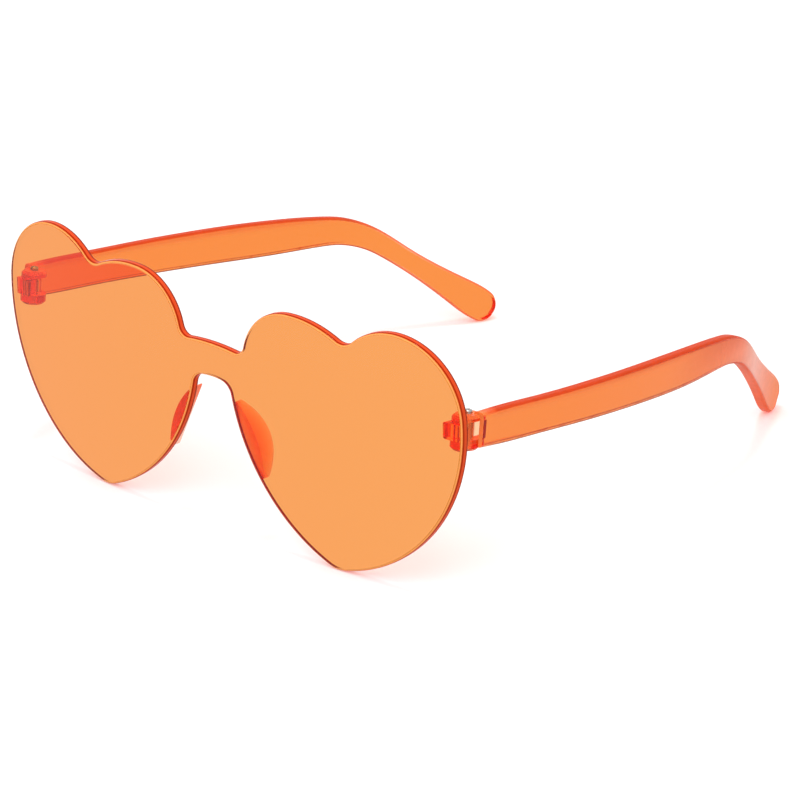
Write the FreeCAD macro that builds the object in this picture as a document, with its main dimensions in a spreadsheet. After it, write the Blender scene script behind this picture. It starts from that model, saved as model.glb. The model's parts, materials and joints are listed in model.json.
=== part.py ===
import FreeCAD
import Part
import Sketcher
import math
import os

# Rimless one-piece sunglasses: a curved double heart lens, two nose pads, two hinge end pieces,
# two hinge screws and two folding temples. Millimetres, +Z up, +Y towards the temple tips.
# The left side is the wearer's left, at +X. The left pieces are modelled and the right ones mirrored.

Vector = FreeCAD.Vector
Rotation = FreeCAD.Rotation
Placement = FreeCAD.Placement

AXIS_X = Vector(1, 0, 0)
AXIS_Y = Vector(0, 1, 0)
AXIS_Z = Vector(0, 0, 1)

# A sketch's own points and axes, by their numbers
ARC_START, ARC_END, ARC_CENTRE = range(1, 4)
LEVEL_AXIS, UPRIGHT_AXIS = range(-1, -3, -1)
ORIGIN = (LEVEL_AXIS, ARC_START)

# Driving sizes: alias, value, meaning. Heights are from the middle of the bridge, angles in degrees.
DRIVING_SIZES = [
    ("front_width", 146.0, "width of the lens across both hearts"),
    ("lens_thickness", 2.0, "thickness of the lens plate"),
    ("lens_curve_radius", 545.0, "radius of the lens front about its upright axis"),
    ("front_edge_radius", 0.65, "rounding of the lens edge in front"),
    ("back_edge_radius", 0.3, "rounding of the lens edge behind"),
    ("side_radius", 41.5, "arc down the outer side of a heart"),
    ("side_centre_z", 0.6, "height of the middle of that arc"),
    ("outer_lobe_radius", 18.15, "outer lobe of a heart"),
    ("outer_lobe_lean", 3.4, "angle of the outer lobe above the side arc"),
    ("notch_radius", 4.2, "rounding of the notch between the lobes"),
    ("crown_radius", 29.0, "arc from the inner lobe to the notch"),
    ("crown_lean", 4.3, "angle where the crown leaves the inner lobe"),
    ("inner_lobe_radius", 14.55, "inner lobe of a heart"),
    ("inner_lobe_x", 24.4, "middle of the inner lobe across"),
    ("inner_lobe_z", 3.15, "middle of the inner lobe in height"),
    ("bridge_top", 5.1, "top of the bridge above its middle"),
    ("bridge_top_radius", 60.0, "arc of the top of the bridge"),
    ("bridge_corner_radius", 2.6, "corner between the bridge and the inner lobe"),
    ("bridge_arch", 3.1, "nose arch below the middle of the bridge"),
    ("bridge_arch_radius", 21.0, "arc of the nose arch"),
    ("arch_corner_radius", 3.6, "corner between the nose arch and the nose edge"),
    ("nose_edge_radius", 47.25, "arc down the nose edge of a heart"),
    ("nose_edge_x", 52.15, "middle of the nose edge arc across"),
    ("nose_edge_z", 4.4, "middle of the nose edge arc in height"),
    ("heart_tip_radius", 8.0, "rounding of the tip of a heart"),
    ("pad_length", 18.6, "nose pad along the nose edge"),
    ("pad_drop", 16.55, "middle of the nose pad below the bridge"),
    ("pad_width", 3.45, "nose pad across the lens at its middle"),
    ("pad_lip", 0.3, "upright edge of the nose pad at the nose"),
    ("pad_inset", 0.15, "nose pad in from the nose edge"),
    ("pad_slope", 54.0, "angle of the nose face above the lens"),
    ("pad_end_width", 0.4, "blunt ends of the nose pad"),
    ("pad_edge_radius", 0.17, "rounding of the nose pad"),
    ("bond_gap", 0.02, "glue line between the lens and what is bonded to it"),
    ("hinge_inset", 3.6, "hinge axis in from the side of the lens"),
    ("hinge_standoff", 3.9, "hinge axis behind the lens"),
    ("hinge_rise", 0.13, "hinge middle above the middle of the bridge"),
    ("knuckle_radius", 1.75, "round end of the lug on the end piece"),
    ("knuckle_height", 4.0, "height of the lug"),
    ("lug_width", 4.3, "width of the lug at the lens"),
    ("lug_corner_radius", 0.6, "rounded corners of the lug"),
    ("hinge_drop", 0.2, "middle of the lug below the middle of the temple"),
    ("fork_drop", 0.7, "middle of the outer knuckles below the middle of the temple"),
    ("hinge_play", 0.1, "gap above and below the lug"),
    ("fork_radius", 3.0, "outer knuckles on the temple"),
    ("fork_height", 8.0, "height over the outer knuckles"),
    ("fork_chamfer", 0.6, "bevelled ends of the outer knuckles"),
    ("fork_slot_depth", 3.2, "slot behind the hinge axis, inside the temple"),
    ("fork_slot_outer", 1.0, "slot behind the hinge axis, at its outer side"),
    ("fork_side_gap", 0.35, "gap between the side of the lug and the outer wall of the slot"),
    ("screw_radius", 0.6, "shank of the hinge screw"),
    ("screw_clearance", 0.05, "gap round the shank"),
    ("screw_head_radius", 0.95, "head of the hinge screw"),
    ("screw_head_height", 0.8, "height of the head"),
    ("screw_bevel", 0.25, "bevel round the head and at the end of the shank"),
    ("screw_slot_width", 0.35, "driver slot"),
    ("screw_slot_depth", 0.4, "depth of the driver slot"),
    ("screw_end_inset", 0.4, "shank end short of the lower knuckle"),
    ("temple_thickness", 3.0, "thickness of the temple"),
    ("temple_offset", 1.1, "inner side of the temple outside the hinge axis"),
    ("temple_slope", 6.38, "angle of the temples below the level of the lens"),
    ("temple_start", 0.7, "start of the temple bar behind the hinge axis"),
    ("temple_end_height", 7.95, "height of the temple at its start"),
    ("temple_taper", 6.0, "end of the taper behind the hinge axis"),
    ("temple_front_height", 8.34, "height of the temple behind its taper"),
    ("temple_belly_height", 9.05, "height of the temple at its widest"),
    ("temple_belly_place", 68.6, "widest place behind the hinge"),
    ("temple_neck_height", 5.58, "height of the temple at its neck"),
    ("temple_tip_height", 8.44, "height of the flared tip"),
    ("bow_start", 20.4, "straight stretch behind the hinge"),
    ("bow_radius", 342.5, "inward bow of the arm"),
    ("ear_bend_start", 93.2, "start of the ear bend behind the hinge"),
    ("ear_bend_radius", 33.1, "ear bend along the middle of the temple"),
    ("ear_drop", 33.4, "angle of the ear bend"),
    ("ear_bow", 19.75, "inward angle of the ear stretch"),
    ("ear_roll", 9.1, "turn of the ear stretch about its length"),
    ("ear_length", 37.0, "ear stretch from the bend to the end of the tip"),
    ("tip_corner_radius", 4.2, "rounded corners of the tip"),
    ("temple_edge_radius", 0.9, "rounding of the temple's edges"),
]

# Depth of the nose edge's arc over the length of a nose pad
PAD_SAGITTA = "(sizes.nose_edge_radius - sqrt(sizes.nose_edge_radius ^ 2 - (sizes.pad_length / 2) ^ 2))"

# Sections that the temple is lofted through: along the arm, in the ear bend, along the ear and,
# by their angle round the tip's corner, in the rounded end.
ARM_SECTIONS = 7
BEND_SECTIONS = 5
EAR_SECTIONS = 4
TIP_ANGLES = [20, 38, 54, 66, 76, 84, 90]
# Share of the edge rounding that is lost by the end of the tip, and place of the neck behind the start of
# the ear bend, in lengths of the bend.
END_CORNER_LOSS = 0.6
NECK_SHARE = 1.46
# The lean of the front is found by halving the range of angles up to this one each way, in degrees.
STEEPEST_LEAN = 10.0
LEAN_HALVINGS = 26

doc = FreeCAD.newDocument("heart_sunglasses")


# The spreadsheet of driving sizes

def write_sheet():
    made = doc.addObject("Spreadsheet::Sheet", "sizes")
    for row, (alias, value, meaning) in enumerate(DRIVING_SIZES, start=1):
        made.set(f"A{row}", meaning)
        made.set(f"B{row}", str(value))
        made.setAlias(f"B{row}", alias)
    doc.recompute()
    return made


sheet = write_sheet()


def size(alias):
    return float(sheet.get(alias))


def worked_out(expression):
    return float(sheet.evalExpression(expression))


# Helpers for bodies, sketches and features

def add_body(name):
    return doc.addObject("PartDesign::Body", name)


def origin_plane(body, role):
    return next(item for item in body.Origin.OriginFeatures if item.Role == role)


def add_sketch(body, name, role, offset=Placement()):
    sketch = body.newObject("Sketcher::SketchObject", name)
    sketch.AttachmentSupport = (origin_plane(body, role), [""])
    sketch.MapMode = "FlatFace"
    sketch.AttachmentOffset = offset
    return sketch


def constrain(sketch, name, expression, kind, *terms):
    index = sketch.addConstraint(Sketcher.Constraint(kind, *terms, worked_out(expression)))
    sketch.renameConstraint(index, name)
    sketch.setExpression(f"Constraints.{name}", expression)


def draw_polygon(sketch, corners):
    places = [Vector(worked_out(across), worked_out(up), 0) for across, up in corners]
    count = len(places)
    sides = [sketch.addGeometry(Part.LineSegment(places[i], places[(i + 1) % count])) for i in range(count)]
    for i, side in enumerate(sides):
        sketch.addConstraint(Sketcher.Constraint("Coincident", side, 2, sides[(i + 1) % count], 1))
    for i, (across, up) in enumerate(corners):
        constrain(sketch, f"across_{i}", across, "DistanceX", *ORIGIN, sides[i], 1)
        constrain(sketch, f"up_{i}", up, "DistanceY", *ORIGIN, sides[i], 1)
    return sides


def draw_circle(sketch, radius_expression):
    ring = sketch.addGeometry(Part.Circle(Vector(), AXIS_Z, worked_out(radius_expression)))
    sketch.addConstraint(Sketcher.Constraint("Coincident", ring, ARC_CENTRE, *ORIGIN))
    constrain(sketch, "ring_radius", radius_expression, "Radius", ring)


def settle(feature):
    doc.recompute()
    if "Invalid" in feature.State or feature.Shape.isNull() or not feature.Shape.isValid():
        raise RuntimeError(f"{feature.Name} failed: {feature.State}")
    return feature


def draw_rounded_box(sketch, half_wide, half_high, corner):
    wide = worked_out(half_wide)
    high = worked_out(half_high)
    radius = worked_out(corner)
    in_wide = wide - radius
    in_high = high - radius
    lower = sketch.addGeometry(Part.LineSegment(Vector(-in_wide, -high, 0), Vector(in_wide, -high, 0)))
    right = sketch.addGeometry(Part.LineSegment(Vector(wide, -in_high, 0), Vector(wide, in_high, 0)))
    upper = sketch.addGeometry(Part.LineSegment(Vector(in_wide, high, 0), Vector(-in_wide, high, 0)))
    left = sketch.addGeometry(Part.LineSegment(Vector(-wide, in_high, 0), Vector(-wide, -in_high, 0)))
    middles = [
        Vector(in_wide, -in_high, 0),
        Vector(in_wide, in_high, 0),
        Vector(-in_wide, in_high, 0),
        Vector(-in_wide, -in_high, 0),
    ]
    arcs = []
    for quarter, middle in enumerate(middles, start=-1):
        ring = Part.Circle(middle, AXIS_Z, radius)
        start = quarter * math.pi / 2
        arcs.append(sketch.addGeometry(Part.ArcOfCircle(ring, start, start + math.pi / 2)))
    chain = [lower, arcs[0], right, arcs[1], upper, arcs[2], left, arcs[3]]
    followers = chain[1:] + chain[:1]
    rules = [Sketcher.Constraint("Tangent", item, 2, after, 1) for item, after in zip(chain, followers)]
    rules += [Sketcher.Constraint("Equal", arcs[0], other) for other in arcs[1:]]
    rules += [Sketcher.Constraint("Horizontal", line) for line in (lower, upper)]
    rules += [Sketcher.Constraint("Vertical", line) for line in (left, right)]
    sketch.addConstraint(rules)
    constrain(sketch, "corner", corner, "Radius", arcs[0])
    constrain(sketch, "right_side", half_wide, "DistanceX", *ORIGIN, right, 1)
    constrain(sketch, "left_side", half_wide, "DistanceX", left, 1, *ORIGIN)
    constrain(sketch, "upper_side", half_high, "DistanceY", *ORIGIN, upper, 1)
    constrain(sketch, "lower_side", half_high, "DistanceY", lower, 1, *ORIGIN)


def add_pad(body, name, sketch, length_expression):
    pad = body.newObject("PartDesign::Pad", name)
    pad.Profile = sketch
    pad.SideType = "Symmetric"
    pad.setExpression("Length", length_expression)
    return settle(pad)


def add_revolution(body, name, sketch):
    turned = body.newObject("PartDesign::Revolution", name)
    turned.Profile = sketch
    turned.ReferenceAxis = (sketch, ["V_Axis"])
    return settle(turned)


def add_cut(body, name, sketch, length_expression=None):
    before = body.Shape.Volume
    cut = body.newObject("PartDesign::Pocket", name)
    cut.Profile = sketch
    cut.SideType = "Symmetric"
    if length_expression:
        cut.setExpression("Length", length_expression)
    else:
        cut.Type = "ThroughAll"
    settle(cut)
    if body.Shape.Volume >= before:
        raise RuntimeError(f"{name} cuts nothing")


def edges_where(feature, test):
    return [f"Edge{index}" for index, edge in enumerate(feature.Shape.Edges, start=1) if test(edge)]


def add_fillet(body, name, base, test, radius_expression):
    rounded = body.newObject("PartDesign::Fillet", name)
    rounded.Base = (base, edges_where(base, test))
    rounded.setExpression("Radius", radius_expression)
    return settle(rounded)


def middle_of(edge):
    return edge.valueAt((edge.FirstParameter + edge.LastParameter) / 2)


def runs_along(edge, axis):
    ends = edge.lastVertex().Point - edge.firstVertex().Point
    return ends.Length > 0 and ends.normalize().cross(axis).Length < 1e-6


def add_mirror(name, source):
    mirrored = doc.addObject("Part::Mirroring", name)
    mirrored.Source = source
    mirrored.Normal = AXIS_X
    mirrored.Base = Vector()
    return mirrored


# Plane geometry of the heart: circles that touch, each a centre and a radius

def polar(degrees, length):
    angle = math.radians(degrees)
    return Vector(length * math.cos(angle), length * math.sin(angle), 0)


def circle_crossings(centre_a, radius_a, centre_b, radius_b):
    gap = centre_b - centre_a
    along = (gap.Length ** 2 + radius_a ** 2 - radius_b ** 2) / (2 * gap.Length)
    across = math.sqrt(radius_a ** 2 - along ** 2)
    unit = gap / gap.Length
    side = Vector(-unit.y, unit.x, 0)
    foot = centre_a + unit * along
    return [foot + side * across, foot - side * across]


def upper_of(points):
    return max(points, key=lambda point: point.y)


def lower_of(points):
    return min(points, key=lambda point: point.y)


def point_towards(circle, other):
    return circle[0] + (other[0] - circle[0]).normalize() * circle[1]


def heart_circles():
    side_radius = size("side_radius")
    side_centre = Vector(size("front_width") / 2 - side_radius, size("side_centre_z"), 0)
    outer_radius = size("outer_lobe_radius")
    outer_centre = side_centre + polar(size("outer_lobe_lean"), side_radius - outer_radius)
    inner_radius = size("inner_lobe_radius")
    inner_centre = Vector(size("inner_lobe_x"), size("inner_lobe_z"), 0)
    crown_radius = size("crown_radius")
    crown_centre = inner_centre - polar(90 + size("crown_lean"), crown_radius - inner_radius)
    nose_radius = size("nose_edge_radius")
    nose_centre = Vector(size("nose_edge_x"), size("nose_edge_z"), 0)
    top_radius = size("bridge_top_radius")
    top_centre = Vector(0, size("bridge_top") - top_radius, 0)
    arch_radius = size("bridge_arch_radius")
    arch_centre = Vector(0, -size("bridge_arch") - arch_radius, 0)

    corner = size("bridge_corner_radius")
    corner_places = circle_crossings(top_centre, top_radius + corner, inner_centre, inner_radius + corner)
    notch = size("notch_radius")
    notch_places = circle_crossings(crown_centre, crown_radius + notch, outer_centre, outer_radius + notch)
    tip = size("heart_tip_radius")
    tip_places = circle_crossings(side_centre, side_radius - tip, nose_centre, nose_radius - tip)
    arch_corner = size("arch_corner_radius")
    inside_arch = arch_radius - arch_corner
    outside_nose = nose_radius + arch_corner
    arch_places = circle_crossings(arch_centre, inside_arch, nose_centre, outside_nose)
    return {
        "top": (top_centre, top_radius),
        "corner": (upper_of(corner_places), corner),
        "inner": (inner_centre, inner_radius),
        "crown": (crown_centre, crown_radius),
        "notch": (upper_of(notch_places), notch),
        "outer": (outer_centre, outer_radius),
        "side": (side_centre, side_radius),
        "tip": (lower_of(tip_places), tip),
        "nose": (nose_centre, nose_radius),
        "arch_corner": (upper_of(arch_places), arch_corner),
        "arch": (arch_centre, arch_radius),
    }


def heart_joins(circle):
    return [
        Vector(0, size("bridge_top"), 0),
        point_towards(circle["top"], circle["corner"]),
        point_towards(circle["inner"], circle["corner"]),
        point_towards(circle["crown"], circle["inner"]),
        point_towards(circle["crown"], circle["notch"]),
        point_towards(circle["outer"], circle["notch"]),
        point_towards(circle["side"], circle["outer"]),
        point_towards(circle["side"], circle["tip"]),
        point_towards(circle["nose"], circle["tip"]),
        point_towards(circle["nose"], circle["arch_corner"]),
        point_towards(circle["arch"], circle["arch_corner"]),
        Vector(0, -size("bridge_arch"), 0),
    ]


# The half outline runs clockwise from the top of the bridge round one heart to the nose arch.
# An arc that is hollow in the lens is drawn from its first join, and a full one from its last.
HEART_ORDER = [
    "top", "corner", "inner", "crown", "notch", "outer",
    "side", "tip", "nose", "arch_corner", "arch",
]
HOLLOW_ARCS = ("corner", "notch", "arch_corner", "arch")


def first_end(name):
    return ARC_START if name in HOLLOW_ARCS else ARC_END


def last_end(name):
    return ARC_END if name in HOLLOW_ARCS else ARC_START


def draw_half_outline(sketch):
    circle = heart_circles()
    joins = heart_joins(circle)
    arc = {}
    for index, name in enumerate(HEART_ORDER):
        centre, radius = circle[name]
        ends = [joins[index], joins[index + 1]]
        if name not in HOLLOW_ARCS:
            ends.reverse()
        start, end = (math.atan2(point.y - centre.y, point.x - centre.x) for point in ends)
        if end < start:
            end += 2 * math.pi
        arc[name] = sketch.addGeometry(Part.ArcOfCircle(Part.Circle(centre, AXIS_Z, radius), start, end))
    seam = sketch.addGeometry(Part.LineSegment(joins[-1], joins[0]))

    rules = [
        Sketcher.Constraint("Coincident", seam, 1, arc["arch"], last_end("arch")),
        Sketcher.Constraint("Coincident", seam, 2, arc["top"], first_end("top")),
        Sketcher.Constraint("PointOnObject", seam, 1, UPRIGHT_AXIS),
        Sketcher.Constraint("PointOnObject", seam, 2, UPRIGHT_AXIS),
        Sketcher.Constraint("PointOnObject", arc["top"], ARC_CENTRE, UPRIGHT_AXIS),
        Sketcher.Constraint("PointOnObject", arc["arch"], ARC_CENTRE, UPRIGHT_AXIS),
    ]
    for name, following in zip(HEART_ORDER, HEART_ORDER[1:]):
        pair = (arc[name], last_end(name), arc[following], first_end(following))
        rules.append(Sketcher.Constraint("Tangent", *pair))
    sketch.addConstraint(rules)

    radius_names = {
        "top": "bridge_top_radius",
        "corner": "bridge_corner_radius",
        "inner": "inner_lobe_radius",
        "crown": "crown_radius",
        "notch": "notch_radius",
        "outer": "outer_lobe_radius",
        "side": "side_radius",
        "tip": "heart_tip_radius",
        "nose": "nose_edge_radius",
        "arch_corner": "arch_corner_radius",
        "arch": "bridge_arch_radius",
    }
    for name, alias in radius_names.items():
        constrain(sketch, f"{name}_radius", f"sizes.{alias}", "Radius", arc[name])
    side_x = "sizes.front_width / 2 - sizes.side_radius"
    lobe_run = "(sizes.side_radius - sizes.outer_lobe_radius)"
    outer_x = f"{side_x} + {lobe_run} * cos(sizes.outer_lobe_lean * 1 deg)"
    crown_rise = "(sizes.crown_radius - sizes.inner_lobe_radius)"
    crown_x = f"sizes.inner_lobe_x + {crown_rise} * sin(sizes.crown_lean * 1 deg)"
    centre_places = [
        ("side_x", side_x, "DistanceX", "side"),
        ("side_z", "sizes.side_centre_z", "DistanceY", "side"),
        ("outer_x", outer_x, "DistanceX", "outer"),
        ("inner_x", "sizes.inner_lobe_x", "DistanceX", "inner"),
        ("inner_z", "sizes.inner_lobe_z", "DistanceY", "inner"),
        ("crown_x", crown_x, "DistanceX", "crown"),
        ("nose_x", "sizes.nose_edge_x", "DistanceX", "nose"),
        ("nose_z", "sizes.nose_edge_z", "DistanceY", "nose"),
    ]
    for label, expression, kind, name in centre_places:
        constrain(sketch, label, expression, kind, *ORIGIN, arc[name], ARC_CENTRE)
    constrain(sketch, "bridge_top", "sizes.bridge_top", "DistanceY", *ORIGIN, seam, 2)
    constrain(sketch, "bridge_arch", "sizes.bridge_arch", "DistanceY", seam, 1, *ORIGIN)


# The temple: a bowed arm, the ear bend and a flared tip, in the frame of its hinge.
# Its path starts at the hinge and is measured along the middle of the bar.

def ear_bend_length():
    return size("ear_bend_radius") * math.radians(size("ear_drop"))


def temple_length():
    return size("ear_bend_start") + ear_bend_length() + size("ear_length")


def bend_share(place):
    return min(1.0, max(0.0, (place - size("ear_bend_start")) / ear_bend_length()))


def bow_at(place):
    bend_start = size("ear_bend_start")
    arm_bow = (bend_start - size("bow_start")) / size("bow_radius")
    if place <= bend_start:
        return max(0.0, place - size("bow_start")) / size("bow_radius")
    return arm_bow + (math.radians(size("ear_bow")) - arm_bow) * bend_share(place)


def drop_at(place):
    bent = (place - size("ear_bend_start")) / size("ear_bend_radius")
    return min(max(0.0, bent), math.radians(size("ear_drop")))


def heading_at(place):
    bow = bow_at(place)
    drop = drop_at(place)
    return Vector(-math.sin(bow), math.cos(bow) * math.cos(drop), -math.cos(bow) * math.sin(drop))


def temple_stations():
    front = size("temple_start")
    bend_start = size("ear_bend_start")
    bend_end = bend_start + ear_bend_length()
    round_start = temple_length() - size("tip_corner_radius")
    taper = size("temple_taper")
    arm = [taper + (bend_start - taper) * i / (ARM_SECTIONS - 1) for i in range(ARM_SECTIONS)]
    bend = [bend_start + (bend_end - bend_start) * i / BEND_SECTIONS for i in range(1, BEND_SECTIONS + 1)]
    ear = [bend_end + (round_start - bend_end) * i / EAR_SECTIONS for i in range(1, EAR_SECTIONS + 1)]
    tip = [round_start + size("tip_corner_radius") * math.sin(math.radians(angle)) for angle in TIP_ANGLES]
    return [front, (front + taper) / 2] + arm + bend + ear + tip


# How far a rounded end has drawn in, as a share of its radius
def drawn_in(place, radius):
    run = (place - temple_length() + radius) / radius
    return 1 - math.sqrt(max(0.0, 1 - max(0.0, run) ** 2))


def travel(start, end, steps=40):
    stride = (end - start) / steps
    moved = Vector()
    for i in range(steps):
        moved += heading_at(start + stride * (i + 0.5)) * stride
    return moved


def height_expression(place):
    neck_place = size("ear_bend_start") + ear_bend_length() * NECK_SHARE
    stops = [
        (size("temple_start"), "temple_end_height"),
        (size("temple_taper"), "temple_front_height"),
        (size("temple_belly_place"), "temple_belly_height"),
        (neck_place, "temple_neck_height"),
        (temple_length() - size("tip_corner_radius"), "temple_tip_height"),
    ]
    if place <= stops[0][0]:
        return f"sizes.{stops[0][1]}"
    for (start, low), (end, high) in zip(stops, stops[1:]):
        if place <= end:
            share = (place - start) / (end - start)
            eased = share * share * (3 - 2 * share)
            return f"sizes.{low} + (sizes.{high} - sizes.{low}) * {eased:.6f}"
    return f"sizes.{stops[-1][1]}"


def add_temple_sections(body):
    sections = []
    stations = temple_stations()
    middle = Vector(size("temple_offset") + size("temple_thickness") / 2, stations[0], 0)
    for index, place in enumerate(stations):
        if index:
            middle = middle + travel(stations[index - 1], place)
        heading = heading_at(place)
        up = Vector(0, math.sin(drop_at(place)), math.cos(drop_at(place)))
        roll = math.radians(size("ear_roll")) * bend_share(place)
        across = heading.cross(up) * math.cos(roll) + up * math.sin(roll)
        turn = Rotation(across, across.cross(heading), heading.negative(), "XYZ")
        section = add_sketch(body, f"section_{index}", "XY_Plane", Placement(middle, turn))
        tip_share = drawn_in(place, size("tip_corner_radius"))
        edge_share = drawn_in(place, size("temple_edge_radius"))
        half_wide = f"sizes.temple_thickness / 2 - sizes.temple_edge_radius * {edge_share:.6f}"
        half_high = f"({height_expression(place)}) / 2 - sizes.tip_corner_radius * {tip_share:.6f}"
        corner = f"sizes.temple_edge_radius * {1 - edge_share * END_CORNER_LOSS:.6f}"
        draw_rounded_box(section, half_wide, half_high, corner)
        sections.append(section)
    return sections, middle


def build_temple(name):
    body = add_body(name)
    sections, tip_end = add_temple_sections(body)
    arm = body.newObject("PartDesign::AdditiveLoft", "arm")
    arm.Profile = sections[0]
    arm.Sections = sections[1:]
    settle(arm)

    half_fork = "sizes.fork_height / 2"
    fork_level = Placement(Vector(0, -size("fork_drop"), 0), Rotation())
    fork_profile = add_sketch(body, "fork_profile", "XZ_Plane", fork_level)
    draw_polygon(fork_profile, [
        ("0", f"-{half_fork}"),
        ("sizes.fork_radius - sizes.fork_chamfer", f"-{half_fork}"),
        ("sizes.fork_radius", f"sizes.fork_chamfer - {half_fork}"),
        ("sizes.fork_radius", f"{half_fork} - sizes.fork_chamfer"),
        ("sizes.fork_radius - sizes.fork_chamfer", half_fork),
        ("0", half_fork),
    ])
    add_revolution(body, "fork_knuckles", fork_profile)

    lug_level = Placement(Vector(0, 0, -size("hinge_drop")), Rotation())
    slot_profile = add_sketch(body, "slot_profile", "XY_Plane", lug_level)
    outer_wall = "sizes.knuckle_radius + sizes.fork_side_gap"
    clear_of_all = "(sizes.temple_offset + sizes.temple_thickness + sizes.fork_radius)"
    draw_polygon(slot_profile, [
        (f"-{clear_of_all}", f"-{clear_of_all}"),
        (outer_wall, f"-{clear_of_all}"),
        (outer_wall, "sizes.fork_slot_outer"),
        ("sizes.temple_offset", "sizes.fork_slot_depth"),
        (f"-{clear_of_all}", "sizes.fork_slot_depth"),
    ])
    add_cut(body, "fork_slot", slot_profile, "sizes.knuckle_height + 2 * sizes.hinge_play")

    bore_profile = add_sketch(body, "bore_profile", "XY_Plane")
    draw_circle(bore_profile, "sizes.screw_radius + sizes.screw_clearance")
    add_cut(body, "screw_bore", bore_profile)
    return body, tip_end


# The hinge screw, with its head on the upper knuckle

def build_screw(name):
    body = add_body(name)
    seat = "(sizes.fork_height / 2 + sizes.bond_gap)"
    shank_end = "(sizes.screw_end_inset - sizes.fork_height / 2)"
    head_top = f"{seat} + sizes.screw_head_height"
    profile = add_sketch(body, "profile", "XZ_Plane")
    draw_polygon(profile, [
        ("0", shank_end),
        ("sizes.screw_radius - sizes.screw_bevel", shank_end),
        ("sizes.screw_radius", f"{shank_end} + sizes.screw_bevel"),
        ("sizes.screw_radius", seat),
        ("sizes.screw_head_radius", seat),
        ("sizes.screw_head_radius", f"{head_top} - sizes.screw_bevel"),
        ("sizes.screw_head_radius - sizes.screw_bevel", head_top),
        ("0", head_top),
    ])
    add_revolution(body, "turned_blank", profile)
    half_slot = "sizes.screw_slot_width / 2"
    slot_profile = add_sketch(body, "slot_profile", "XZ_Plane")
    slot_floor = f"{head_top} - sizes.screw_slot_depth"
    slot_top = f"{head_top} + sizes.screw_slot_depth"
    draw_polygon(slot_profile, [
        (f"-{half_slot}", slot_floor),
        (half_slot, slot_floor),
        (half_slot, slot_top),
        (f"-{half_slot}", slot_top),
    ])
    add_cut(body, "driver_slot", slot_profile)
    return body


# The end piece: a lug bonded to the lens, with the bore in its round end

def build_end_piece(name):
    body = add_body(name)
    block_profile = add_sketch(body, "block_profile", "XY_Plane")
    block_front = "-sizes.hinge_standoff - sizes.lens_thickness"
    inner_side = "sizes.knuckle_radius - sizes.lug_width"
    draw_polygon(block_profile, [
        (inner_side, block_front),
        ("sizes.knuckle_radius", block_front),
        ("sizes.knuckle_radius", "0"),
        (inner_side, "0"),
    ])
    block = add_pad(body, "block", block_profile, "sizes.knuckle_height")
    inner_corner_x = worked_out(inner_side) + 1e-3

    def inner_corner(edge):
        return runs_along(edge, AXIS_Y) and middle_of(edge).x < inner_corner_x

    add_fillet(body, "block_corners", block, inner_corner, "sizes.lug_corner_radius")
    knuckle_profile = add_sketch(body, "knuckle_profile", "XY_Plane")
    draw_circle(knuckle_profile, "sizes.knuckle_radius")
    add_pad(body, "knuckle", knuckle_profile, "sizes.knuckle_height")
    bore_profile = add_sketch(body, "bore_profile", "XY_Plane")
    draw_circle(bore_profile, "sizes.screw_radius + sizes.screw_clearance")
    add_cut(body, "screw_bore", bore_profile)
    return body


# The nose pad: a fin that follows the nose edge, with its nose face cut on a slope

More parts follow.
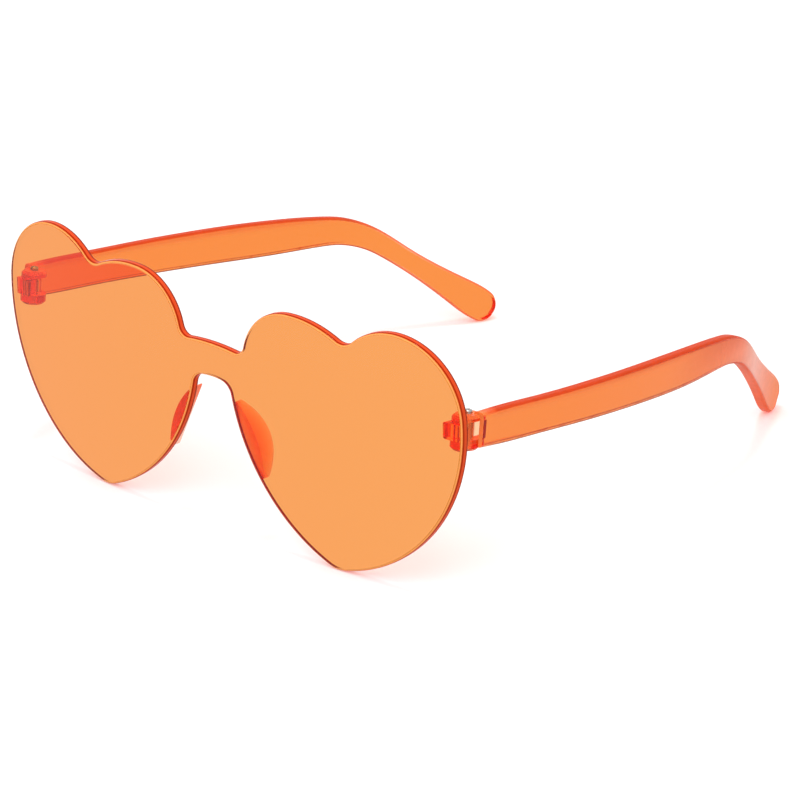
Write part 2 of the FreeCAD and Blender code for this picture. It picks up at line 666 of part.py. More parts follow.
def build_nose_pad(name):
    body = add_body(name)
    profile = add_sketch(body, "profile", "XZ_Plane")
    half_length = size("pad_length") / 2
    end_width = size("pad_end_width")
    sagitta = worked_out(PAD_SAGITTA)
    corners = [
        Vector(0, -half_length, 0),
        Vector(end_width, -half_length, 0),
        Vector(end_width, half_length, 0),
        Vector(0, half_length, 0),
    ]
    lower = profile.addGeometry(Part.LineSegment(corners[0], corners[1]))
    outer = profile.addGeometry(Part.Arc(corners[1], Vector(size("pad_width") - sagitta, 0, 0), corners[2]))
    upper = profile.addGeometry(Part.LineSegment(corners[2], corners[3]))
    nose = profile.addGeometry(Part.Arc(corners[3], Vector(-sagitta, 0, 0), corners[0]))
    profile.addConstraint([
        Sketcher.Constraint("Coincident", lower, 2, outer, ARC_START),
        Sketcher.Constraint("Coincident", outer, ARC_END, upper, 1),
        Sketcher.Constraint("Coincident", upper, 2, nose, ARC_START),
        Sketcher.Constraint("Coincident", nose, ARC_END, lower, 1),
        Sketcher.Constraint("Horizontal", lower),
        Sketcher.Constraint("Horizontal", upper),
        Sketcher.Constraint("PointOnObject", lower, 1, UPRIGHT_AXIS),
        Sketcher.Constraint("PointOnObject", upper, 2, UPRIGHT_AXIS),
    ])
    rise = f"(sizes.pad_width - {PAD_SAGITTA} - sizes.pad_end_width)"
    outer_radius = f"((sizes.pad_length / 2) ^ 2 + {rise} ^ 2) / (2 * {rise})"
    constrain(profile, "upper_end", "sizes.pad_length / 2", "DistanceY", *ORIGIN, upper, 2)
    constrain(profile, "lower_end", "sizes.pad_length / 2", "DistanceY", lower, 1, *ORIGIN)
    constrain(profile, "lower_width", "sizes.pad_end_width", "DistanceX", lower, 1, lower, 2)
    constrain(profile, "upper_width", "sizes.pad_end_width", "DistanceX", upper, 2, upper, 1)
    constrain(profile, "outer_radius", outer_radius, "Radius", outer)
    constrain(profile, "nose_radius", "sizes.nose_edge_radius", "Radius", nose)
    full_rise = "(sizes.pad_lip + 1.5 * sizes.pad_width * tan(sizes.pad_slope * 1 deg))"
    add_pad(body, "fin", profile, f"2 * {full_rise}")

    slope_profile = add_sketch(body, "slope_profile", "XY_Plane")
    foot = f"-{PAD_SAGITTA} - sizes.pad_lip / tan(sizes.pad_slope * 1 deg)"
    past_top = f"2 * {full_rise}"
    head = f"{foot} + {past_top} / tan(sizes.pad_slope * 1 deg)"
    nose_side = f"{foot} - sizes.pad_width"
    draw_polygon(slope_profile, [
        (nose_side, f"-{past_top}"),
        (foot, f"-{past_top}"),
        (foot, "0"),
        (head, past_top),
        (nose_side, past_top),
    ])
    add_cut(body, "nose_face", slope_profile)

    def stands_clear(edge):
        return middle_of(edge).y > size("pad_edge_radius") / 2

    add_fillet(body, "soft_edges", body.Tip, stands_clear, "sizes.pad_edge_radius")
    return body


# Places in the frame of the lens: the bridge's front is at y = 0 and its middle at z = 0

def lens_back_at(across):
    radius = size("lens_curve_radius")
    return radius - math.sqrt((radius - size("lens_thickness")) ** 2 - across ** 2)


def hinge_place():
    across = size("front_width") / 2 - size("hinge_inset")
    return Vector(across, lens_back_at(across) + size("hinge_standoff"), size("hinge_rise"))


def box_of(shape, placement):
    moved = shape.copy()
    moved.Placement = placement.multiply(moved.Placement)
    return moved.optimalBoundingBox()


# The front leans until the tips of the hearts and of the temples stand on one plane.
def front_lean(lens, temple, hinge):
    low, high = -STEEPEST_LEAN, STEEPEST_LEAN
    for _ in range(LEAN_HALVINGS):
        lean = (low + high) / 2
        leaned = Placement(Vector(), Rotation(AXIS_X, lean))
        if box_of(temple, leaned.multiply(hinge)).ZMin < box_of(lens, leaned).ZMin:
            low = lean
        else:
            high = lean
    return (low + high) / 2


def pad_placement():
    centre, radius = heart_circles()["nose"]
    fall = -size("pad_drop") - centre.y
    edge = Vector(centre.x - math.sqrt(radius ** 2 - fall ** 2), -size("pad_drop"), 0)
    inward = (centre - edge).normalize()
    middle = edge + inward * (worked_out(PAD_SAGITTA) + size("pad_inset"))
    lean = math.degrees(math.atan2(inward.y, inward.x))
    swing = math.degrees(middle.x / size("lens_curve_radius"))
    turn = Rotation(AXIS_Z, swing).multiply(Rotation(AXIS_Y, -lean))
    return Placement(Vector(middle.x, lens_back_at(middle.x), middle.y), turn)


# The lens: the heart outline, mirrored, kept where it meets a curved sheet

def add_lens_cylinder(name, radius_expression):
    cylinder = doc.addObject("Part::Cylinder", name)
    cylinder.setExpression("Radius", radius_expression)
    cylinder.setExpression("Height", "sizes.front_width")
    foot = Vector(0, size("lens_curve_radius"), -size("front_width") / 2)
    cylinder.Placement = Placement(foot, Rotation())
    return cylinder


# The lens in its own frame, and what has to be moved to move it
def build_lens(name):
    blank = add_body("lens_blank")
    outline = add_sketch(blank, "half_outline", "XZ_Plane")
    draw_half_outline(outline)
    sag = "sizes.front_width ^ 2 / (4 * sizes.lens_curve_radius)"
    half = add_pad(blank, "half_blank", outline, f"2 * ({sag} + 3 * sizes.lens_thickness)")
    whole = blank.newObject("PartDesign::Mirrored", "whole_blank")
    whole.Originals = [half]
    whole.MirrorPlane = (origin_plane(blank, "YZ_Plane"), [""])
    blank.Tip = whole
    front_curve = add_lens_cylinder("lens_front_curve", "sizes.lens_curve_radius")
    back_curve = add_lens_cylinder("lens_back_curve", "sizes.lens_curve_radius - sizes.lens_thickness")
    curve = doc.addObject("Part::Cut", "lens_curve")
    curve.Base = front_curve
    curve.Tool = back_curve
    plate = doc.addObject("Part::Common", "lens_plate")
    plate.Base = blank
    plate.Tool = curve
    doc.recompute()

    front_radius = size("lens_curve_radius")
    back_radius = front_radius - size("lens_thickness")

    def lies_on(edge, radius):
        points = [edge.firstVertex().Point, middle_of(edge), edge.lastVertex().Point]
        return all(abs(math.hypot(point.x, point.y - front_radius) - radius) < 1e-3 for point in points)

    rounding = []
    for index, edge in enumerate(plate.Shape.Edges, start=1):
        if lies_on(edge, front_radius):
            rounding.append((index, size("front_edge_radius"), size("front_edge_radius")))
        elif lies_on(edge, back_radius):
            rounding.append((index, size("back_edge_radius"), size("back_edge_radius")))
    lens = doc.addObject("Part::Fillet", name)
    lens.Base = plate
    lens.Edges = rounding
    doc.recompute()
    return lens, [blank, front_curve, back_curve]


# The assembly, with its origin on the table under the middle of its box

lens_shield, lens_sources = build_lens("lens_shield")
temple_left, tip_end = build_temple("temple_left")
hinge_in_lens = Placement(hinge_place(), Rotation(AXIS_X, -size("temple_slope")))
lean = front_lean(lens_shield.Shape, temple_left.Shape, hinge_in_lens)
leaned = Placement(Vector(), Rotation(AXIS_X, lean))
lens_box = box_of(lens_shield.Shape, leaned)
temple_box = box_of(temple_left.Shape, leaned.multiply(hinge_in_lens))
middle_y = (temple_box.YMax + lens_box.YMin) / 2
lens_place = Placement(Vector(0, -middle_y, -lens_box.ZMin), Rotation(AXIS_X, lean))
lens_volume = lens_shield.Shape.Volume
bond_radius = "sizes.lens_curve_radius - sizes.lens_thickness - sizes.bond_gap"
bond_curve = add_lens_cylinder("bond_curve", bond_radius)
for source in lens_sources + [bond_curve]:
    source.Placement = lens_place.multiply(source.Placement)
doc.recompute()
if abs(lens_shield.Shape.Volume - lens_volume) > 1e-3 * lens_volume:
    raise RuntimeError("the lens changed as it was placed")

hinge_left = lens_place.multiply(hinge_in_lens)
temple_left.Placement = hinge_left
lug_left = hinge_left.multiply(Placement(Vector(0, 0, -size("hinge_drop")), Rotation()))
fork_left = hinge_left.multiply(Placement(Vector(0, 0, -size("fork_drop")), Rotation()))
hinge_screw_left = build_screw("hinge_screw_left")
hinge_screw_left.Placement = fork_left


# What is bonded to the lens is trimmed to its back, less the glue line
def seat_on_lens(name, body, placement):
    body.Placement = placement
    seated = doc.addObject("Part::Common", name)
    seated.Base = body
    seated.Tool = bond_curve
    doc.recompute()
    return seated


end_piece_left = seat_on_lens("end_piece_left", build_end_piece("end_piece_blank"), lug_left)
pad_place = lens_place.multiply(pad_placement())
nose_pad_left = seat_on_lens("nose_pad_left", build_nose_pad("nose_pad_blank"), pad_place)

left_pieces = [nose_pad_left, end_piece_left, hinge_screw_left, temple_left]
right_pieces = [add_mirror(piece.Label.replace("left", "right"), piece) for piece in left_pieces]
nodes = [lens_shield] + left_pieces + right_pieces
doc.recompute()


# Checks, then one file for each piece

for item in doc.Objects:
    if "Invalid" in item.State or "Error" in item.State:
        raise RuntimeError(f"{item.Name} failed: {item.State}")
for node in nodes:
    if node.Shape.isNull() or not node.Shape.isValid() or len(node.Shape.Solids) != 1:
        raise RuntimeError(f"{node.Label} is not one valid solid")

os.makedirs("parts", exist_ok=True)
for node in nodes:
    node.Shape.exportStep(f"parts/{node.Label}.step")
    print(f"{node.Label}: {node.Shape.Volume:.1f} mm3")
print(f"tilt {size('temple_slope') - lean:.4f} deg, lean {lean:.4f} deg")
print(f"depth {temple_box.YMax - lens_box.YMin:.3f}")
print(f"lens place {lens_place.Base.x:.4f} {lens_place.Base.y:.4f} {lens_place.Base.z:.4f}")
tip_place = hinge_left.multVec(tip_end)
tip_heading = hinge_left.Rotation.multVec(heading_at(temple_length()))
print(f"hinge {hinge_left.Base.x:.4f} {hinge_left.Base.y:.4f} {hinge_left.Base.z:.4f}")
print(f"tip end {tip_place.x:.3f} {tip_place.y:.3f} {tip_place.z:.3f}")
print(f"tip heading {tip_heading.x:.5f} {tip_heading.y:.5f} {tip_heading.z:.5f}")
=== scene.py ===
import json
import math

import bpy
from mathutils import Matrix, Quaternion, Vector

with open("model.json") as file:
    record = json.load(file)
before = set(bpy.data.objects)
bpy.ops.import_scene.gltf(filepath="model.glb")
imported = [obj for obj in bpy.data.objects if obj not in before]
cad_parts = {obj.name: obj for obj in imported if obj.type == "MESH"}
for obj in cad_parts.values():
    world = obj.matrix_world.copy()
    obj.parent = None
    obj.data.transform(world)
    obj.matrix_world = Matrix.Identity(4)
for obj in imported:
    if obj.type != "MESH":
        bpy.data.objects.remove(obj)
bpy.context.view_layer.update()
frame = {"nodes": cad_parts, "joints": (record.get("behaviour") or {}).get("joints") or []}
bpy.ops.object.select_all(action="DESELECT")
print("frame loaded:", ", ".join(sorted(frame["nodes"])))

lightBounces = 24  # enough to cross a lens, a pad and both temples one behind the other
scene = bpy.context.scene
scene.view_settings.view_transform = "Standard"
scene.cycles.max_bounces = lightBounces
scene.cycles.transmission_bounces = lightBounces

# where the front and the hinges stand: a middle point in metres, and a lean about X in degrees
frontPlace = {"middle": (0, -0.0737331, 0.0402293), "lean": 0.4323}  # on the front of the bridge
leftHinge = next(joint for joint in frame["joints"] if joint["name"] == "temple_left_fold")
hingeAxis = Vector(leftHinge["axis"])
hingePlace = {
    "middle": (0, *leftHinge["pos_m"][1:]),  # as high and as far back on both sides
    "lean": -math.degrees(math.atan2(hingeAxis.y, hingeAxis.z)),
}


# small helpers for node trees, where a value is a number, a colour or the socket of another node

nodeGrid = {"columns": 8, "across": 220, "down": 320}


def plug(tree, value, target):
    if isinstance(value, bpy.types.NodeSocket):
        tree.links.new(value, target)
    else:
        target.default_value = value


def addNode(tree, kind, **values):  # a key with a capital is an input, any other is a setting of the node
    row, column = divmod(len(tree.nodes), nodeGrid["columns"])
    node = tree.nodes.new(kind)
    node.location = (column * nodeGrid["across"], -row * nodeGrid["down"])
    for key, value in values.items():
        if key[0].isupper():
            plug(tree, value, node.inputs[key.replace("_", " ")])
        else:
            setattr(node, key, value)
    return node


def newMaterial(name):  # the material, its tree and the coordinates of the piece
    material = bpy.data.materials.new(name)
    material.use_nodes = True
    tree = material.node_tree
    tree.nodes.clear()
    return material, tree, addNode(tree, "ShaderNodeTexCoord").outputs


def addMath(tree, operation, *values):
    node = addNode(tree, "ShaderNodeMath", operation=operation)
    for value, target in zip(values, node.inputs):
        plug(tree, value, target)
    return node.outputs[0]


def addRange(tree, value, span, result, interpolation="LINEAR"):  # span becomes result, held at both ends
    node = addNode(
        tree, "ShaderNodeMapRange", interpolation_type=interpolation,
        Value=value, From_Min=span[0], From_Max=span[1], To_Min=result[0], To_Max=result[1],
    )
    return node.outputs[0]


def addRamp(tree, value, stops):
    node = addNode(tree, "ShaderNodeValToRGB")
    plug(tree, value, node.inputs[0])
    colours = node.color_ramp.elements
    while len(colours) < len(stops):
        colours.new(0.5)  # moved to its place below
    for colour, (place, tone) in zip(colours, stops):
        colour.position = place
        colour.color = tone
    return node.outputs[0]


def addColourMix(tree, share, first, second):
    node = addNode(tree, "ShaderNodeMix", data_type="RGBA")
    colours = [socket for socket in node.inputs if socket.type == "RGBA"]
    mixed = [socket for socket in node.outputs if socket.type == "RGBA"]
    plug(tree, share, node.inputs[0])
    plug(tree, first, colours[0])
    plug(tree, second, colours[1])
    return mixed[0]


def addShaderMix(tree, share, first, second):
    node = addNode(tree, "ShaderNodeMixShader")
    for value, target in zip((share, first, second), node.inputs):
        plug(tree, value, target)
    return node.outputs[0]


def addSplit(tree, vector):
    return addNode(tree, "ShaderNodeSeparateXYZ", Vector=vector).outputs


def addOwnPlace(tree, spot, place):  # coordinates from the middle of a place, leaning as it leans
    lean = math.radians(place["lean"])
    node = addNode(
        tree, "ShaderNodeMapping", vector_type="TEXTURE",
        Vector=spot, Location=place["middle"], Rotation=(lean, 0, 0),
    )
    return node.outputs[0]


def grey(level):
    return (level, level, level, 1)


def dress(nodeName, material):
    slots = frame["nodes"][nodeName].data.materials
    slots.clear()
    slots.append(material)


# the plastic of all the pieces: a glassy body with its dye inside, which lamps shine through, and a faint
# painted red glow

plasticLook = {
    "ior": 1.58,
    "surface": (1.0, 0.98, 0.97, 1),
    "gloss": grey(0.2),
    "paintedGlowColour": (1.0, 0.12, 0.01, 1),
    "rippleDetail": 1.0,
    "rippleDepth": 0.0002,
    "scuffDetail": 5.0,
    "scuffRoughness": 0.6,
    "scuffSpan": (0.3, 0.7),  # of the noise
    "scuffShades": (0.93, 1.07),
    "scuffDulling": 0.12,
    "grainStrength": 0.12,
    "grainDepth": 0.00005,
}


def addClearBody(tree, spot, look):
    ripple = addNode(  # the slow waves of a moulded face
        tree, "ShaderNodeTexNoise",
        Vector=spot["Object"], Scale=look["rippleScale"], Detail=look["rippleDetail"],
    )
    waves = addNode(
        tree, "ShaderNodeBump",
        Strength=look["rippleStrength"], Distance=look["rippleDepth"], Height=ripple.outputs[0],
    )
    body = addNode(
        tree, "ShaderNodeBsdfPrincipled",
        Base_Color=look["surface"], Roughness=look["roughness"], IOR=look["ior"],
        Transmission_Weight=1.0, Specular_Tint=look["gloss"],
        # painted glow: the body gives off a little red light of its own, though it is no lamp
        Emission_Color=look["paintedGlowColour"], Emission_Strength=look["paintedGlow"],
        Normal=waves.outputs[0],
    )
    return body.outputs[0]


# where the dye is seen lengthways the plastic is deep and dull, with fine scuffs and a painted red glow
def addDeepBody(tree, spot, look, tone):
    noise = addNode(
        tree, "ShaderNodeTexNoise",
        Vector=spot["Object"], Scale=look["scuffScale"],
        Detail=look["scuffDetail"], Roughness=look["scuffRoughness"],
    )
    scuffs = noise.outputs[0]
    dullest = look["edgeRoughness"] + look["scuffDulling"]
    dulling = addRange(tree, scuffs, look["scuffSpan"], (look["edgeRoughness"], dullest))
    fading = addRange(tree, scuffs, look["scuffSpan"], look["scuffShades"])
    shade = addNode(tree, "ShaderNodeHueSaturation", Value=fading, Color=tone)
    grain = addNode(
        tree, "ShaderNodeBump",
        Strength=look["grainStrength"], Distance=look["grainDepth"], Height=scuffs,
    )
    body = addNode(
        tree, "ShaderNodeBsdfPrincipled",
        Base_Color=shade.outputs[0], Roughness=dulling,
        IOR=look["ior"], Specular_IOR_Level=look["edgeShine"],
        # painted glow: the edges give off red light of their own, though they are no lamp
        Emission_Color=look["paintedEdgeGlowColour"], Emission_Strength=look["paintedEdgeGlow"],
        Normal=grain.outputs[0],
    )
    return body.outputs[0]


def finishPlastic(tree, look, body):  # lets the lamps through in the dye's colour, and puts the dye inside
    path = addNode(tree, "ShaderNodeLightPath")
    passing = addNode(tree, "ShaderNodeBsdfTransparent", Color=look["shadow"])
    surface = addShaderMix(tree, path.outputs["Is Shadow Ray"], body, passing.outputs[0])
    dye = addNode(tree, "ShaderNodeVolumeAbsorption", Color=look["dye"], Density=look["dyeDensity"])
    addNode(tree, "ShaderNodeOutputMaterial", Surface=surface, Volume=dye.outputs[0])


# the lens: clear faces, with a red rim round the whole outline, painted with a highlight line and dark
# shade lines

lensLook = {
    **plasticLook,
    "name": "tinted lens",
    "surface": (1.0, 0.99, 0.98, 1),
    "roughness": 0.01,
    "dye": (0.986, 0.69, 0.28, 1),
    "dyeDensity": 1425,
    "paintedGlow": 0.0,
    "shadow": (1.0, 0.65, 0.58, 1),
    "rippleScale": 25,
    "rippleStrength": 0.02,
    "curve": 0.545,  # radius of the front
    "thickness": 0.002,
    "edgeRing": (0.9, 0.985),  # facing at which the rim is full, and where it has gone
    "edgeTones": [  # from the front of the edge, 0, to its back, 1
        (0.0, (0.53, 0.18, 0.03, 1)),  # front corner
        (0.015, (0.53, 0.18, 0.03, 1)),
        (0.04, (0.74, 0.31, 0.09, 1)),  # painted highlight line
        (0.08, (0.74, 0.31, 0.09, 1)),
        (0.13, (0.52, 0.09, 0.012, 1)),
        (0.19, (0.28, 0.010, 0.0, 1)),  # painted shade line
        (0.29, (0.28, 0.010, 0.0, 1)),
        (0.38, (0.60, 0.062, 0.015, 1)),  # broad red band
        (0.68, (0.60, 0.062, 0.015, 1)),
        (0.80, (0.20, 0.020, 0.010, 1)),  # back corner, painted dark shade
    ],
    "edgeRoughness": 0.06,
    "edgeShine": 0.02,
    "paintedEdgeGlow": 0.06,
    "paintedEdgeGlowColour": (1.0, 0.09, 0.02, 1),
    "scuffScale": 900,
}


def makeLensPlastic(look):
    material, tree, spot = newMaterial(look["name"])
    clear = addClearBody(tree, spot, look)
    facing = addMath(tree, "ABSOLUTE", addSplit(tree, spot["Normal"])["Y"])
    rim = addRange(tree, facing, look["edgeRing"], (1.0, 0.0), "SMOOTHSTEP")
    own = addSplit(tree, addOwnPlace(tree, spot["Object"], frontPlace))
    behindAxis = addMath(tree, "SUBTRACT", own["Y"], look["curve"])
    across = addNode(tree, "ShaderNodeCombineXYZ", X=own["X"], Y=behindAxis)
    radius = addNode(tree, "ShaderNodeVectorMath", operation="LENGTH", Vector=across.outputs[0])
    frontToBack = (look["curve"], look["curve"] - look["thickness"])
    depth = addRange(tree, radius.outputs["Value"], frontToBack, (0.0, 1.0))
    deep = addDeepBody(tree, spot, look, addRamp(tree, depth, look["edgeTones"]))
    finishPlastic(tree, look, addShaderMix(tree, rim, clear, deep))
    return material


dress("lens_shield", makeLensPlastic(lensLook))
print("lens dressed")

# the temples: red along the top and bottom, with painted light on the outer face over the ear, clear in the
# fork

templeLook = {
    **plasticLook,
    "name": "tinted temple",
    "roughness": 0.1,
    "dye": (0.984, 0.684, 0.28, 1),
    "dyeDensity": 1230,
    "paintedGlow": 0.02,
    "shadow": (1.0, 0.9, 0.85, 1),
    "rippleScale": 40,
    "rippleStrength": 0.05,
    "reach": 0.16,  # behind the hinge axis, where the tones along the arm end
    "bow": (0.0204, 0.112),  # behind the hinge axis, where the arm begins and ends turning inwards
    "bowAngle": 19.75,
    "edgeRing": (0.8, 0.965),  # facing at which the edge is full, and where it has gone
    "edgeShare": 0.9,
    "forkShares": [  # along the reach, how much of the edge shows: the fork stays clearer
        (0.0018, grey(0.5)),
        (0.0036, grey(0.75)),
        (0.018, grey(0.75)),
        (0.032, grey(1.0)),
    ],
    "edgeTones": [  # along the reach
        (0.0036, (0.95, 0.32, 0.08, 1)),  # fork
        (0.018, (0.80, 0.14, 0.03, 1)),
        (0.034, (0.50, 0.042, 0.007, 1)),  # bar
        (0.62, (0.50, 0.042, 0.007, 1)),
        (0.72, (0.80, 0.13, 0.05, 1)),  # ear
    ],
    "underFacing": (-0.7, -0.2),  # looking down, where the painted shade on an edge is darkest and where that ends
    "underShade": 0.35,
    "topBand": (0.0018, 0.0045),  # above the middle of the bar, where its faces begin and end deepening
    "topShare": 0.4,
    "bottomBand": (-0.0036, -0.0046),
    "bottomShare": 0.65,
    # painted shade: a dark line along the bottom of the bar
    "bottomShadeLine": (0.45, 0.05, 0.012, 1),
    "bottomShadeLineFrom": 0.02,  # share of the bottom band at which the painted shade line sets in
    "bandStart": (0.02, 0.035),  # along the reach, behind the fork
    "bandEnd": (0.57, 0.62),  # along the reach, before the ear
    "earPaintedLightSpan": (0.065, 0.11),  # behind the hinge axis, where the painted light on the outer face begins and is full
    "earShare": 0.6,
    "earTones": [  # along the reach
        (0.52, (0.97, 0.28, 0.11, 1)),
        (0.65, (1.0, 0.37, 0.22, 1)),
        (0.72, (1.0, 0.62, 0.52, 1)),  # painted light, palest at the bend
        (0.79, (1.0, 0.37, 0.22, 1)),
        (0.85, (0.97, 0.27, 0.05, 1)),  # tip
    ],
    "earTop": (0.80, 0.12, 0.035, 1),
    "earTopHeights": (-0.002, 0.0045),  # above the middle of the bar, where the face deepens to that colour
    "edgeRoughness": 0.3,
    "edgeShine": 0.01,
    "paintedEdgeGlow": 0.06,
    "paintedEdgeGlowColour": (1.0, 0.09, 0.02, 1),
    "scuffScale": 500,
}


# how far a face looks outwards, and 1 on the broad faces, which turn with the bow
def addArmFacing(tree, normal, arm, look):
    turn = addRange(tree, arm["Y"], look["bow"], (0.0, math.radians(look["bowAngle"])))
    outwards = addMath(tree, "MULTIPLY", normal["X"], addMath(tree, "SIGN", arm["X"]))
    acrossArm = addMath(tree, "MULTIPLY", outwards, addMath(tree, "COSINE", turn))
    alongArm = addMath(tree, "MULTIPLY", normal["Y"], addMath(tree, "SINE", turn))
    return outwards, addMath(tree, "ABSOLUTE", addMath(tree, "ADD", acrossArm, alongArm))


def makeTemplePlastic(look):
    material, tree, spot = newMaterial(look["name"])
    clear = addClearBody(tree, spot, look)
    normal = addSplit(tree, spot["Normal"])
    arm = addSplit(tree, addOwnPlace(tree, spot["Object"], hingePlace))
    along = addRange(tree, arm["Y"], (0.0, look["reach"]), (0.0, 1.0))
    pastFork = addRange(tree, along, look["bandStart"], (0.0, 1.0))
    beforeEar = addRange(tree, along, look["bandEnd"], (1.0, 0.0))
    onBar = addMath(tree, "MULTIPLY", beforeEar, pastFork)

    # the narrow edges all round, with painted shade underneath
    outwards, facing = addArmFacing(tree, normal, arm, look)
    edge = addRange(tree, facing, look["edgeRing"], (look["edgeShare"], 0.0), "SMOOTHSTEP")
    edgeShare = addMath(tree, "MULTIPLY", edge, addRamp(tree, along, look["forkShares"]))
    edgeColour = addRamp(tree, along, look["edgeTones"])
    # painted shade: edges that look down are darkened
    under = addRange(tree, normal["Z"], look["underFacing"], (look["underShade"], 1.0))
    edgeTone = addNode(tree, "ShaderNodeHueSaturation", Value=under, Fac=beforeEar, Color=edgeColour)

    # the broad faces: deeper towards the top and bottom of the bar, with painted light outside over the ear
    topBand = addRange(tree, arm["Z"], look["topBand"], (0.0, look["topShare"]), "SMOOTHSTEP")
    bottomBand = addRange(tree, arm["Z"], look["bottomBand"], (0.0, look["bottomShare"]), "SMOOTHSTEP")
    bands = addMath(tree, "MULTIPLY", addMath(tree, "MAXIMUM", topBand, bottomBand), onBar)
    # painted light: a pale patch on the outer face of the ear
    paintedEarLight = addRange(tree, arm["Y"], look["earPaintedLightSpan"], (0.0, look["earShare"]), "SMOOTHSTEP")
    outerPaintedLight = addMath(tree, "MULTIPLY", addMath(tree, "GREATER_THAN", outwards, 0.0), paintedEarLight)
    faceShare = addMath(tree, "MAXIMUM", bands, outerPaintedLight)
    earTone = addRamp(tree, along, look["earTones"])
    topShare = addRange(tree, arm["Z"], look["earTopHeights"], (0.0, 1.0))
    upperTone = addColourMix(tree, topShare, earTone, look["earTop"])
    # painted shade: a dark line along the bottom of the bar's faces
    inShadeLine = addMath(tree, "GREATER_THAN", bottomBand, look["bottomShadeLineFrom"])
    shadeLineShare = addMath(tree, "MULTIPLY", inShadeLine, onBar)
    faceTone = addColourMix(tree, shadeLineShare, upperTone, look["bottomShadeLine"])

    deep = addDeepBody(tree, spot, look, addColourMix(tree, edgeShare, faceTone, edgeTone.outputs[0]))
    share = addMath(tree, "MAXIMUM", edgeShare, faceShare)
    finishPlastic(tree, look, addShaderMix(tree, share, clear, deep))
    return material


# nose pads and end pieces: the same plastic in thicker lumps, the pads with brighter walls and a painted
# shade line along the ridge

lumpLook = {
    **plasticLook,
    "roughness": 0.03,
    "dye": (0.993, 0.70, 0.28, 1),
    "shadow": (1.0, 0.85, 0.8, 1),
    "rippleStrength": 0.1,
}
endPieceLook = {
    **lumpLook,
    "name": "tinted end piece",
    "dyeDensity": 850,
    "paintedGlow": 0.025,
    "rippleScale": 300,
}
padLook = {
    **lumpLook,
    "name": "tinted nose pad",
    "dyeDensity": 1650,
    "paintedGlow": 0.03,
    "rippleScale": 120,
    "edgeRing": (0.15, 0.4),  # facing at which the wall is full, and where it has gone
    "edgeShare": 0.5,
    "edge": (0.93, 0.45, 0.06, 1),
    "frontFacing": (-0.85, -0.6),  # looking at the lens it is bonded to: full, and where it has gone
    "frontShare": 0.6,
    "ridgeFacing": (0.64, 0.72),  # looking back, where the painted shade line of the ridge begins and is full
    "ridgeShare": 0.9,
    "ridge": (0.5, 0.04, 0.01, 1),
    "noseFacing": -0.0025,  # normal times place across the front, below which a face looks at the nose
    "noseShare": 0.85,
    "noseHeights": (0.021, 0.031),  # above the floor, where that face is palest and where deepest
    "noseTones": [
        (0.1, (0.93, 0.24, 0.13, 1)),  # top
        (0.6, (1.0, 0.66, 0.50, 1)),  # foot
    ],
    "edgeRoughness": 0.2,
    "edgeShine": 0.05,
    "paintedEdgeGlow": 0.05,
    "paintedEdgeGlowColour": (1.0, 0.12, 0.01, 1),
    "scuffScale": 900,
}


def makePadPlastic(look):
    material, tree, spot = newMaterial(look["name"])
    clear = addClearBody(tree, spot, look)
    normal = addSplit(tree, spot["Normal"])
    place = addSplit(tree, spot["Object"])
    facing = addMath(tree, "ABSOLUTE", normal["Y"])
    wall = addRange(tree, facing, look["edgeRing"], (look["edgeShare"], 0.0))
    front = addRange(tree, normal["Y"], look["frontFacing"], (look["frontShare"], 0.0))
    # painted shade: a dark line along the ridge between the pad's facets
    ridge = addRange(tree, normal["Y"], look["ridgeFacing"], (0.0, look["ridgeShare"]))
    outwards = addMath(tree, "MULTIPLY", normal["X"], place["X"])
    onNose = addMath(tree, "LESS_THAN", outwards, look["noseFacing"])
    noseFace = addMath(tree, "MULTIPLY", onNose, look["noseShare"])
    lowness = addRange(tree, place["Z"], look["noseHeights"], (1.0, 0.0))
    noseTone = addRamp(tree, lowness, look["noseTones"])
    wallTone = addColourMix(tree, onNose, look["edge"], noseTone)
    deep = addDeepBody(tree, spot, look, addColourMix(tree, ridge, wallTone, look["ridge"]))
    wallShare = addMath(tree, "MAXIMUM", addMath(tree, "MAXIMUM", wall, front), noseFace)
    share = addMath(tree, "MAXIMUM", ridge, wallShare)
    finishPlastic(tree, look, addShaderMix(tree, share, clear, deep))
    return material


def makeEndPiecePlastic(look):
    material, tree, spot = newMaterial(look["name"])
    finishPlastic(tree, look, addClearBody(tree, spot, look))
    return material


# hinge screws: dull dark steel, with the thread showing as rings on the shank, painted as shade in the
# grooves and light on the crests

steelLook = {
    "name": "screw steel",
    "head": (0.42, 0.40, 0.38, 1),
    "headFoot": (0.0030, 0.0033),  # above the middle of the hinge
    "paintedThreadLightAndShade": [
        (0.25, (0.42, 0.40, 0.37, 1)),  # groove, painted shade
        (0.75, (0.72, 0.70, 0.66, 1)),  # crest, painted light
    ],
    "threadPitch": 0.00035,
    "threadStrength": 0.4,
    "threadDepth": 0.00008,
    "waveTurn": 20,  # radians that the wave pattern turns in one unit
    "scratchScale": 2500,
    "scratchDetail": 3.0,
    "scratchSpan": (0.3, 0.7),  # of the noise
    "roughness": (0.25, 0.5),
}


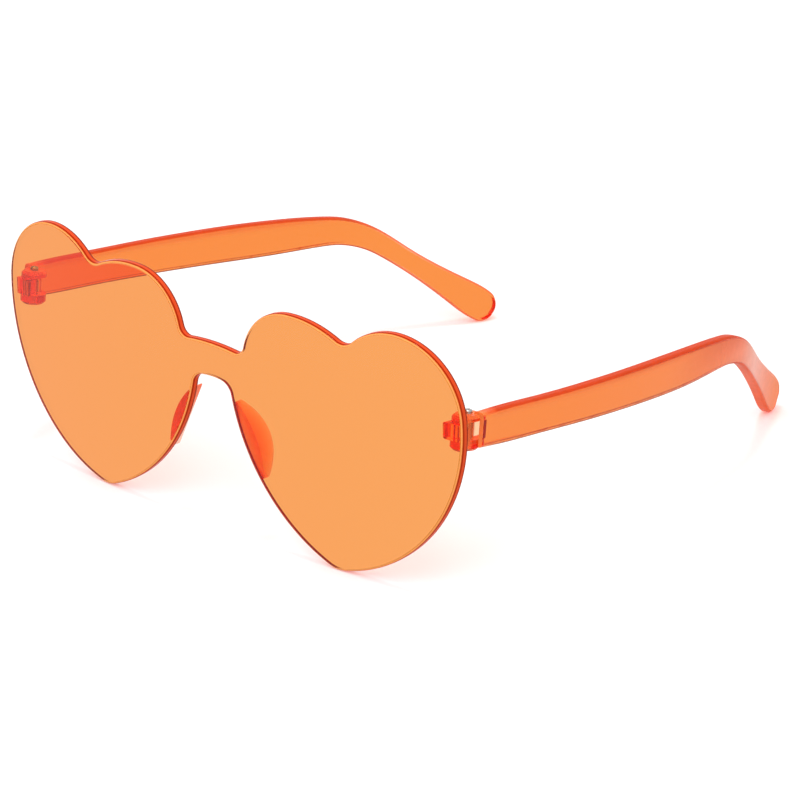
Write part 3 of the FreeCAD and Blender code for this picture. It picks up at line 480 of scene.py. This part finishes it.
def makeScrewSteel(look):
    material, tree, spot = newMaterial(look["name"])
    upright = addOwnPlace(tree, spot["Object"], hingePlace)
    wave = addNode(
        tree, "ShaderNodeTexWave", bands_direction="Z",
        Vector=upright, Scale=math.tau / (look["waveTurn"] * look["threadPitch"]),
    )
    thread = wave.outputs["Fac"]
    scratches = addNode(
        tree, "ShaderNodeTexNoise",
        Vector=upright, Scale=look["scratchScale"], Detail=look["scratchDetail"],
    )
    onHead = addRange(tree, addSplit(tree, upright)["Z"], look["headFoot"], (0.0, 1.0))
    shank = addRamp(tree, thread, look["paintedThreadLightAndShade"])
    cut = addNode(
        tree, "ShaderNodeBump",
        Strength=look["threadStrength"], Distance=look["threadDepth"], Height=thread,
    )
    steel = addNode(
        tree, "ShaderNodeBsdfPrincipled", Metallic=1.0,
        Base_Color=addColourMix(tree, onHead, shank, look["head"]),
        Roughness=addRange(tree, scratches.outputs[0], look["scratchSpan"], look["roughness"]),
        Normal=cut.outputs[0],
    )
    addNode(tree, "ShaderNodeOutputMaterial", Surface=steel.outputs[0])
    return material


pairMaterials = {
    "temple": makeTemplePlastic(templeLook),
    "nose_pad": makePadPlastic(padLook),
    "end_piece": makeEndPiecePlastic(endPieceLook),
    "hinge_screw": makeScrewSteel(steelLook),
}
for piece, material in pairMaterials.items():
    for side in ("left", "right"):
        dress(piece + "_" + side, material)
print("pairs dressed:", ", ".join(pairMaterials))


# floor and world: white to the camera and behind the plastic, with the object's shadow on the floor

stageLook = {
    "white": grey(1.0),
    "floorHalf": 6.0,
    "floorDrop": 0.0001,  # keeps the floor clear of the feet
    "floorColour": grey(0.72),
    "floorReach": (0.1, 1.0),  # from the middle, where the floor's own glow begins to grow and is full
    "floorGlow": (0.17, 0.5),
    "worldStrength": 0.85,
}


def makeFloorPaint(look):
    material, tree, spot = newMaterial("white floor")
    path = addNode(tree, "ShaderNodeLightPath").outputs
    away = addNode(tree, "ShaderNodeVectorMath", operation="LENGTH", Vector=spot["Object"])
    strength = addRange(tree, away.outputs["Value"], look["floorReach"], look["floorGlow"])
    matt = addNode(tree, "ShaderNodeBsdfDiffuse", Color=look["floorColour"])
    glow = addNode(tree, "ShaderNodeEmission", Color=look["white"], Strength=strength)
    lifted = addNode(tree, "ShaderNodeAddShader")
    plug(tree, matt.outputs[0], lifted.inputs[0])
    plug(tree, glow.outputs[0], lifted.inputs[1])
    white = addNode(tree, "ShaderNodeEmission", Color=look["white"], Strength=1.0)
    direct = addShaderMix(tree, path["Is Camera Ray"], matt.outputs[0], lifted.outputs[0])
    bent = addMath(tree, "MAXIMUM", path["Is Transmission Ray"], path["Is Glossy Ray"])
    surface = addShaderMix(tree, bent, direct, white.outputs[0])
    addNode(tree, "ShaderNodeOutputMaterial", Surface=surface)
    return material


def makeStudioWorld(look):
    world = bpy.data.worlds.new("studio")
    world.use_nodes = True
    tree = world.node_tree
    tree.nodes.clear()
    path = addNode(tree, "ShaderNodeLightPath").outputs
    soft = addNode(tree, "ShaderNodeBackground", Color=look["white"], Strength=look["worldStrength"])
    shown = addNode(tree, "ShaderNodeBackground", Color=look["white"], Strength=1.0)
    seen = addMath(tree, "MAXIMUM", path["Is Camera Ray"], path["Is Glossy Ray"])
    seenThrough = addMath(tree, "MAXIMUM", seen, path["Is Transmission Ray"])
    surface = addShaderMix(tree, seenThrough, soft.outputs[0], shown.outputs[0])
    addNode(tree, "ShaderNodeOutputWorld", Surface=surface)
    return world


bpy.ops.mesh.primitive_plane_add(
    size=2 * stageLook["floorHalf"], location=(0, 0, -stageLook["floorDrop"])
)
floor = bpy.context.object
floor.name = "floor"
floor.data.materials.append(makeFloorPaint(stageLook))
scene.world = makeStudioWorld(stageLook)

# soft lamps, each turned to the middle of the floor

lamps = [
    {"name": "key", "place": (0.35, -0.55, 0.75), "size": 0.6, "power": 4.0},
    {"name": "fill", "place": (-0.3, -0.7, 0.6), "size": 0.9, "power": 1.4},
    {"name": "above", "place": (0.0, -0.0737, 0.95), "size": 0.14, "power": 2.6},
]
for lampLook in lamps:
    bpy.ops.object.light_add(type="AREA", location=lampLook["place"])
    lamp = bpy.context.object
    lamp.name = lampLook["name"]
    lamp.data.size = lampLook["size"]
    lamp.data.energy = lampLook["power"]
    lamp.rotation_euler = (-Vector(lampLook["place"])).to_track_quat("-Z", "Y").to_euler()
print("stage and", len(lamps), "lamps")


# camera at the photograph's angle, set out from the middle of the bridge and leaning as the front leans

cameraLook = {
    "azimuth": 43.56,
    "elevation": 21.63,
    "roll": -0.68,
    "fromBridge": (0.6619, -0.6338, 0.3537),
    "lens": 194.85,  # millimetres, as the sensor is
    "sensor": 36,
    "clip": (0.05, 50),
}
azimuth = math.radians(cameraLook["azimuth"])
elevation = math.radians(cameraLook["elevation"])
ahead = Vector((
    -math.sin(azimuth) * math.cos(elevation),
    math.cos(azimuth) * math.cos(elevation),
    -math.sin(elevation),
))
leaning = Quaternion((1, 0, 0), math.radians(frontPlace["lean"]))
rolled = Quaternion((0, 0, 1), math.radians(cameraLook["roll"]))
bpy.ops.object.camera_add(
    location=Vector(frontPlace["middle"]) + leaning @ Vector(cameraLook["fromBridge"])
)
camera = bpy.context.object
camera.rotation_mode = "QUATERNION"
camera.rotation_quaternion = leaning @ ahead.to_track_quat("-Z", "Y") @ rolled
camera.data.sensor_width = cameraLook["sensor"]
camera.data.lens = cameraLook["lens"]
camera.data.clip_start, camera.data.clip_end = cameraLook["clip"]
scene.camera = camera
print("camera", [round(value, 4) for value in camera.location])
